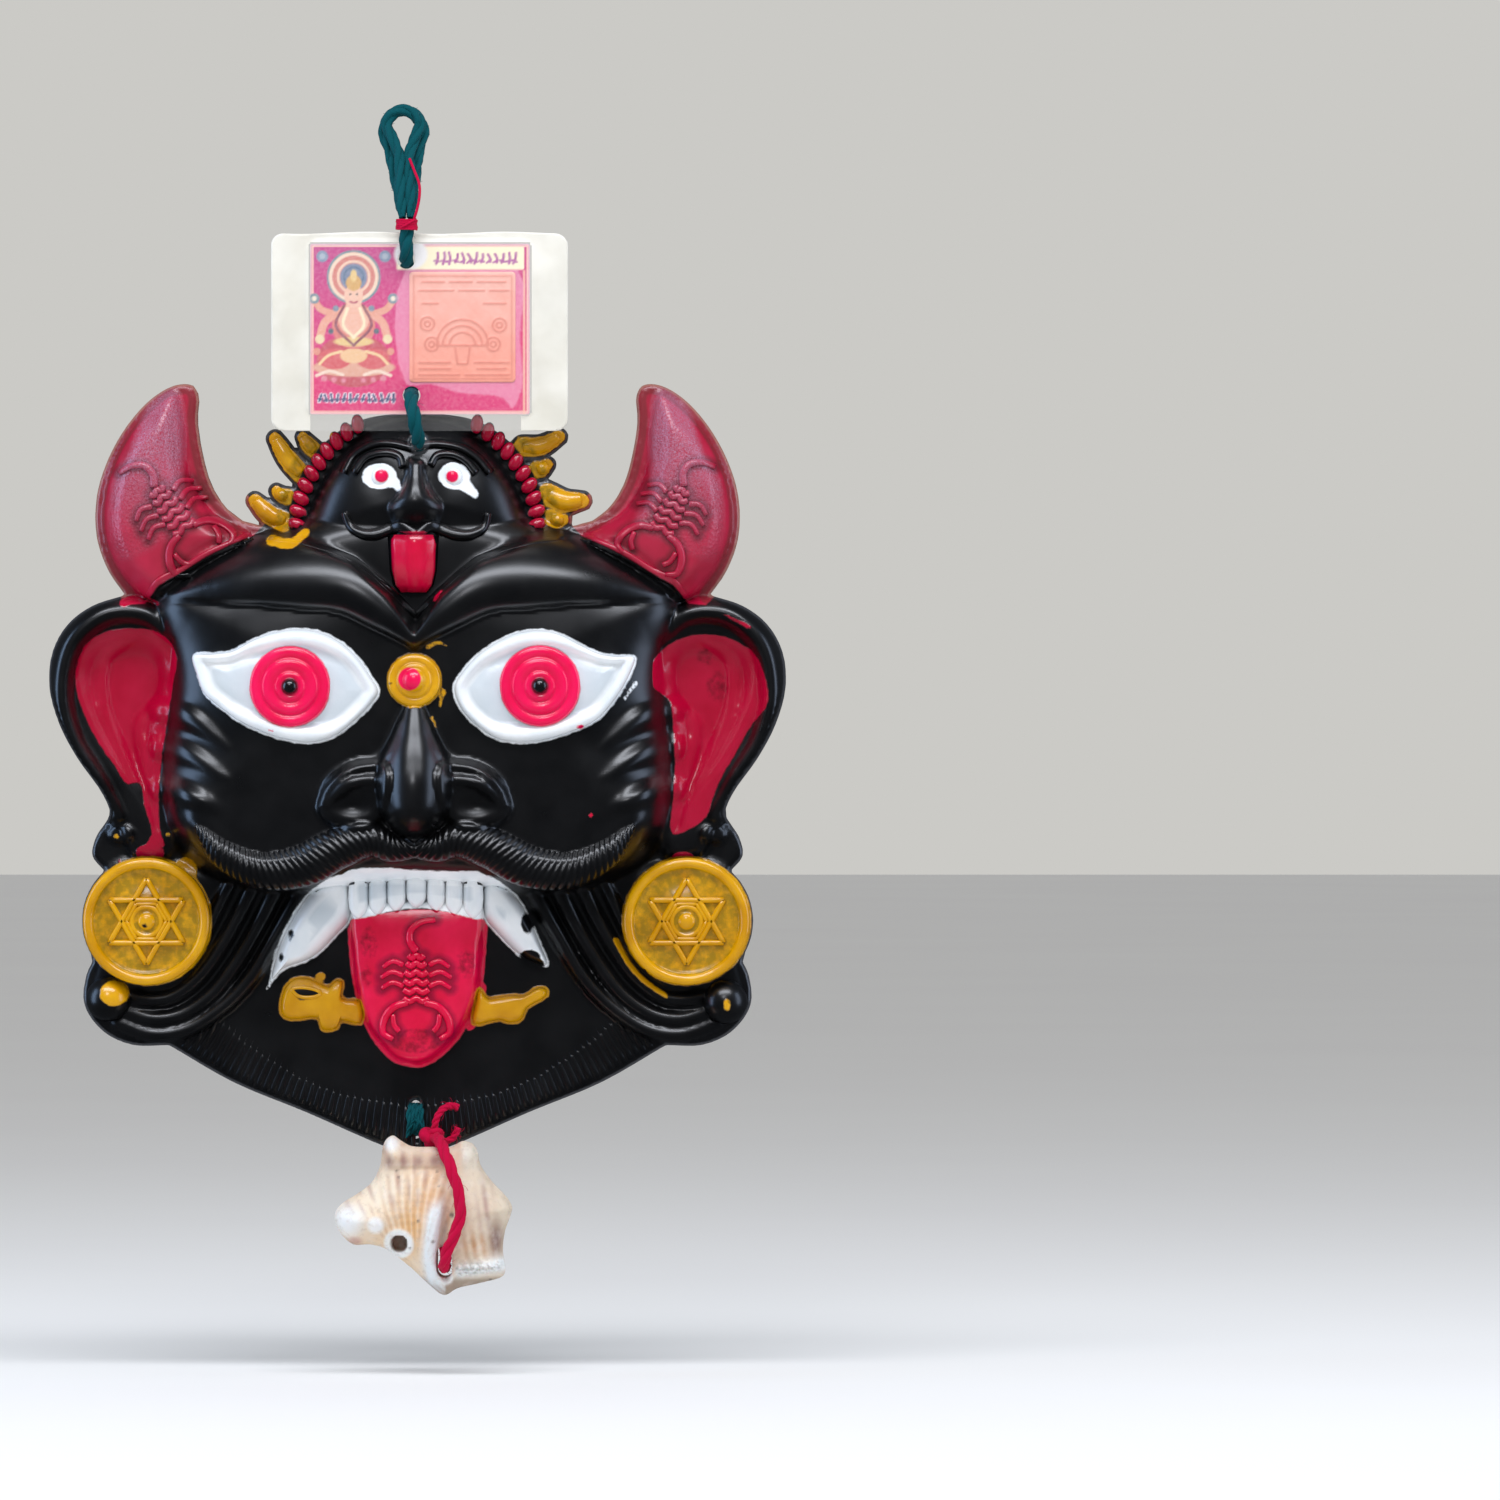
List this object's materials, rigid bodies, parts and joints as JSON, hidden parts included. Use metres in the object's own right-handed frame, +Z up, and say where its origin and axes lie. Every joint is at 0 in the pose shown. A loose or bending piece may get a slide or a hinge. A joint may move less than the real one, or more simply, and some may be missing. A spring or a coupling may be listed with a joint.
{
  "type": "demon face wall mask",
  "caption": "Horned demon face wall mask of moulded black plastic, hollow behind, with a laminated card on its hanging cord and a sea shell tied below",
  "frame": {"origin": "the point of the hanging loop that rests on the nail, 6 mm in front of the wall", "axes": "+Z up, +X to the right of someone who faces the mask, -Y off the wall towards the viewer"},
  "size_m": [0.24, 0.0449, 0.3864],
  "materials": {
    "black_plastic": "moulded black plastic, satin gloss, painted by hand in red, white, yellow and pink",
    "clear_film": "laminating film, ivory and milky, glossy",
    "printed_card": "printed card, magenta ground",
    "copper_foil": "embossed copper-coloured foil",
    "green_wool": "twisted wool yarn, teal green",
    "red_wool": "twisted wool yarn, crimson",
    "sea_shell": "natural shell, cream and peach with purple-brown bands"
  },
  "bodies": {
    "root": {"mask_shell": "black_plastic", "laminate_pouch": "clear_film", "printed_card": "printed_card", "copper_foil": "copper_foil", "hanging_cord": "green_wool", "loop_strand_front": "green_wool", "loop_strand_back": "green_wool", "red_binding": "red_wool", "cord_knot": "green_wool", "beard_stitch": "green_wool", "shell_tie": "red_wool", "tie_knot": "red_wool", "sea_shell": "sea_shell"}
  },
  "joints": []
}
